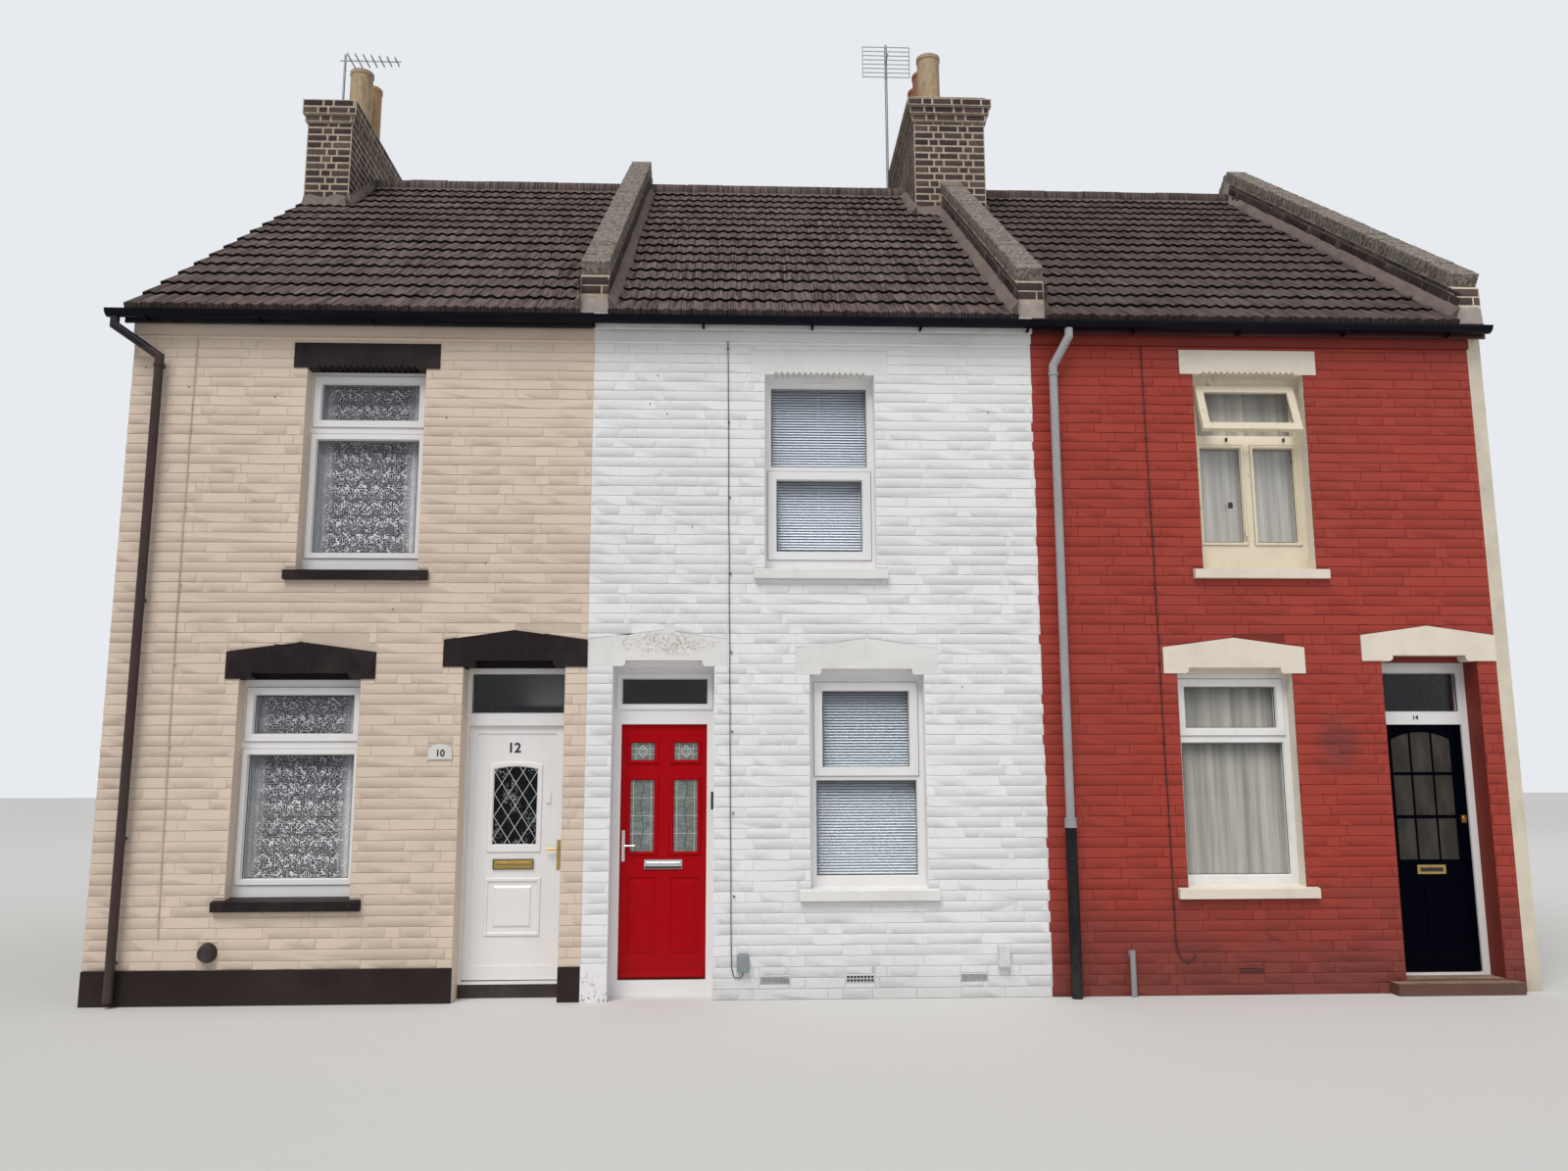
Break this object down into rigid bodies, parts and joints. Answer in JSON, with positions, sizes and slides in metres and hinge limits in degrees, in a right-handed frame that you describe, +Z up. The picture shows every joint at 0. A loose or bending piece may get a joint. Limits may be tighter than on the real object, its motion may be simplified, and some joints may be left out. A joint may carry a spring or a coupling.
{
  "type": "terraced house row",
  "caption": "Row of terraced brick houses with painted fronts, tiled roofs between parapets, brick chimney stacks and front doors that open.",
  "frame": {"origin": "on the ground under the ridge, at the middle of the white house", "axes": "+X along the row, to the right as seen from the street, +Y into the houses, +Z up"},
  "size_m": [11.192, 8.6, 11.0301],
  "materials": {
    "cream_painted_brick": "matt",
    "white_painted_brick": "matt",
    "red_painted_brick": "satin",
    "stock_brick": "matt",
    "painted_stone": "matt",
    "floor_tiles": "matt",
    "floor_boards": "matt",
    "roof_tiles": "matt",
    "fired_clay": "matt",
    "white_plastic": "satin",
    "cream_timber": "satin",
    "red_door_skin": "satin",
    "navy_timber": "gloss",
    "clear_glass": "gloss",
    "brass": "satin",
    "chrome": "gloss",
    "net_cloth": "matt",
    "blind_slats": "satin",
    "black_plastic": "satin",
    "brown_render": "satin",
    "galvanised_steel": "satin"
  },
  "bodies": {
    "row": {"chimney_pots": "fired_clay", "cream_door_frame": "white_plastic", "cream_plinth": "brown_render", "cream_wall_lower": "cream_painted_brick", "cream_wall_upper": "cream_painted_brick", "cream_white_party_wall": "stock_brick", "cream_window_frames": "white_plastic", "door_steps": "floor_tiles", "downpipes": "black_plastic", "end_party_wall": "stock_brick", "fascias": "black_plastic", "front_lintels": "painted_stone", "front_roof_slopes": "roof_tiles", "gable_chimney": "stock_brick", "gable_wall": "stock_brick", "ground_floors": "floor_tiles", "gutters": "black_plastic", "net_curtains": "net_cloth", "parapet_copings": "stock_brick", "party_chimney": "stock_brick", "pleated_curtains": "net_cloth", "rear_doors": "white_plastic", "rear_lintels": "painted_stone", "rear_roof_slopes": "roof_tiles", "rear_wall_lower": "stock_brick", "rear_wall_upper": "stock_brick", "rear_window_frames": "white_plastic", "red_door_frame": "cream_timber", "red_wall_lower": "red_painted_brick", "red_wall_upper": "red_painted_brick", "red_window_frames": "cream_timber", "ridge_tiles": "roof_tiles", "roof_aerials": "galvanised_steel", "upper_floors": "floor_boards", "venetian_blinds": "blind_slats", "wall_fittings": "black_plastic", "white_door_frame": "white_plastic", "white_red_party_wall": "stock_brick", "white_wall_lower": "white_painted_brick", "white_wall_upper": "white_painted_brick", "white_window_frames": "white_plastic", "window_glass": "clear_glass", "window_sills": "painted_stone"},
    "cream_door": {"cream_door_leaf": "white_plastic", "cream_leaf_glass": "clear_glass", "cream_door_furniture": "brass"},
    "red_door_of_white_house": {"white_house_red_leaf": "red_door_skin", "red_leaf_glass": "clear_glass", "red_leaf_furniture": "chrome"},
    "navy_door_of_red_house": {"red_house_navy_leaf": "navy_timber", "navy_leaf_glass": "clear_glass", "navy_leaf_furniture": "brass"}
  },
  "joints": [
    {"name": "cream_door_hinge", "type": "hinge", "parent": "row", "child": "cream_door", "pos_m": [-2.7215, -3.83, 1.1], "axis": [0, 0, 1], "range_deg": [0, 90]},
    {"name": "red_door_of_white_house_hinge", "type": "hinge", "parent": "row", "child": "red_door_of_white_house", "pos_m": [-0.8405, -3.83, 1.1], "axis": [0, 0, -1], "range_deg": [0, 90]},
    {"name": "navy_door_of_red_house_hinge", "type": "hinge", "parent": "row", "child": "navy_door_of_red_house", "pos_m": [4.5755, -3.83, 1.1], "axis": [0, 0, 1], "range_deg": [0, 90]}
  ]
}
